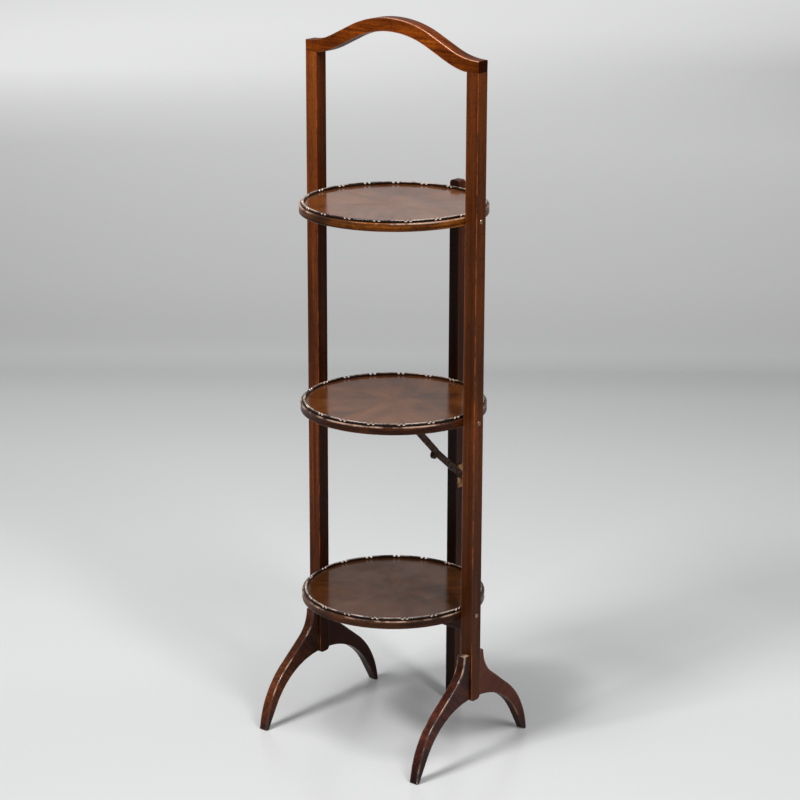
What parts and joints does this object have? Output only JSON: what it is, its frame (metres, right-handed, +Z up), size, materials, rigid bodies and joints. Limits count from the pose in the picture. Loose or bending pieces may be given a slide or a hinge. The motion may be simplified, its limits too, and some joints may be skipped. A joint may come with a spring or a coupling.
{
  "type": "folding cake stand",
  "caption": "Folding wooden cake stand: round lipped trays pivot between two uprights under an arched top rail and swing upright together on a rear bar with a metal stay.",
  "frame": {"origin": "on the floor, at the centre of the bounding box's bottom", "axes": "+X along the arch rail to the right upright, +Y from the open front to the rear bar, +Z up"},
  "size_m": [0.2814, 0.2563, 0.9514],
  "materials": {
    "mahogany": "french-polished red-brown mahogany, worn at the edges",
    "arch_mahogany": "french-polished, warmer and lighter brown",
    "dark_mahogany": "dark polished mahogany with a purple-brown sheen",
    "veneer": "glossy polished veneer, quartered leaves",
    "hidden_wood": "bare wood, out of sight",
    "brass": "aged, dull",
    "bronze": "darkened almost to brown"
  },
  "bodies": {
    "frame": {"left_upright": "mahogany", "right_upright": "mahogany", "arch_rail": "arch_mahogany", "arch_dowels": "hidden_wood", "stretcher": "dark_mahogany", "stretcher_screws": "brass", "left_front_leg": "dark_mahogany", "left_rear_leg": "dark_mahogany", "right_front_leg": "dark_mahogany", "right_rear_leg": "dark_mahogany", "leg_dowels": "hidden_wood"},
    "top_tray": {"top_board": "dark_mahogany", "top_band": "mahogany", "top_lip": "mahogany", "top_veneer": "veneer", "top_bearer": "dark_mahogany", "top_bearer_screws": "brass", "top_pivot_screws": "brass"},
    "middle_tray": {"middle_board": "dark_mahogany", "middle_band": "mahogany", "middle_lip": "mahogany", "middle_veneer": "veneer", "middle_bearer": "dark_mahogany", "middle_bearer_screws": "brass", "middle_pivot_screws": "brass", "stay_bracket": "brass", "stay_bracket_screws": "brass", "bracket_rivet": "brass"},
    "bottom_tray": {"bottom_board": "dark_mahogany", "bottom_band": "mahogany", "bottom_lip": "mahogany", "bottom_veneer": "veneer", "bottom_bearer": "dark_mahogany", "bottom_bearer_screws": "brass", "bottom_pivot_screws": "brass"},
    "rear_bar": {"rear_bar": "mahogany", "bar_pivot_screws": "brass", "stay_plate": "brass", "stay_plate_screws": "brass", "bar_rivet": "brass"},
    "lower_link": {"lower_link": "bronze", "lower_knuckle_rivet": "bronze"},
    "upper_link": {"upper_link": "bronze", "upper_knuckle_rivet": "bronze"}
  },
  "joints": [
    {"name": "fold", "type": "hinge", "parent": "frame", "child": "middle_tray", "pos_m": [0, -0.008, 0.4555], "axis": [1, 0, 0], "range_deg": [0, 90]},
    {"name": "top_tray_tilt", "type": "hinge", "parent": "frame", "child": "top_tray", "pos_m": [0, -0.008, 0.7142], "axis": [1, 0, 0], "range_deg": [0, 90]},
    {"name": "bottom_tray_tilt", "type": "hinge", "parent": "frame", "child": "bottom_tray", "pos_m": [0, -0.008, 0.1968], "axis": [1, 0, 0], "range_deg": [0, 90]},
    {"name": "bar_hang", "type": "hinge", "parent": "middle_tray", "child": "rear_bar", "pos_m": [0, 0.1212, 0.4318], "axis": [1, 0, 0], "range_deg": [-90, 0]},
    {"name": "lower_link_turn", "type": "hinge", "parent": "rear_bar", "child": "lower_link", "pos_m": [0, 0.1236, 0.3257], "axis": [1, 0, 0], "range_deg": [-51, 0]},
    {"name": "upper_link_turn", "type": "hinge", "parent": "middle_tray", "child": "upper_link", "pos_m": [0, -0.002, 0.439], "axis": [1, 0, 0], "range_deg": [0, 45]}
  ],
  "couplings": [
    {"joint": "top_tray_tilt", "follows": "fold", "ratio": 1},
    {"joint": "bottom_tray_tilt", "follows": "fold", "ratio": 1},
    {"joint": "bar_hang", "follows": "fold", "ratio": -1},
    {"joint": "lower_link_turn", "follows": "fold", "ratio": -0.56314},
    {"joint": "upper_link_turn", "follows": "fold", "ratio": 0.48876}
  ]
}
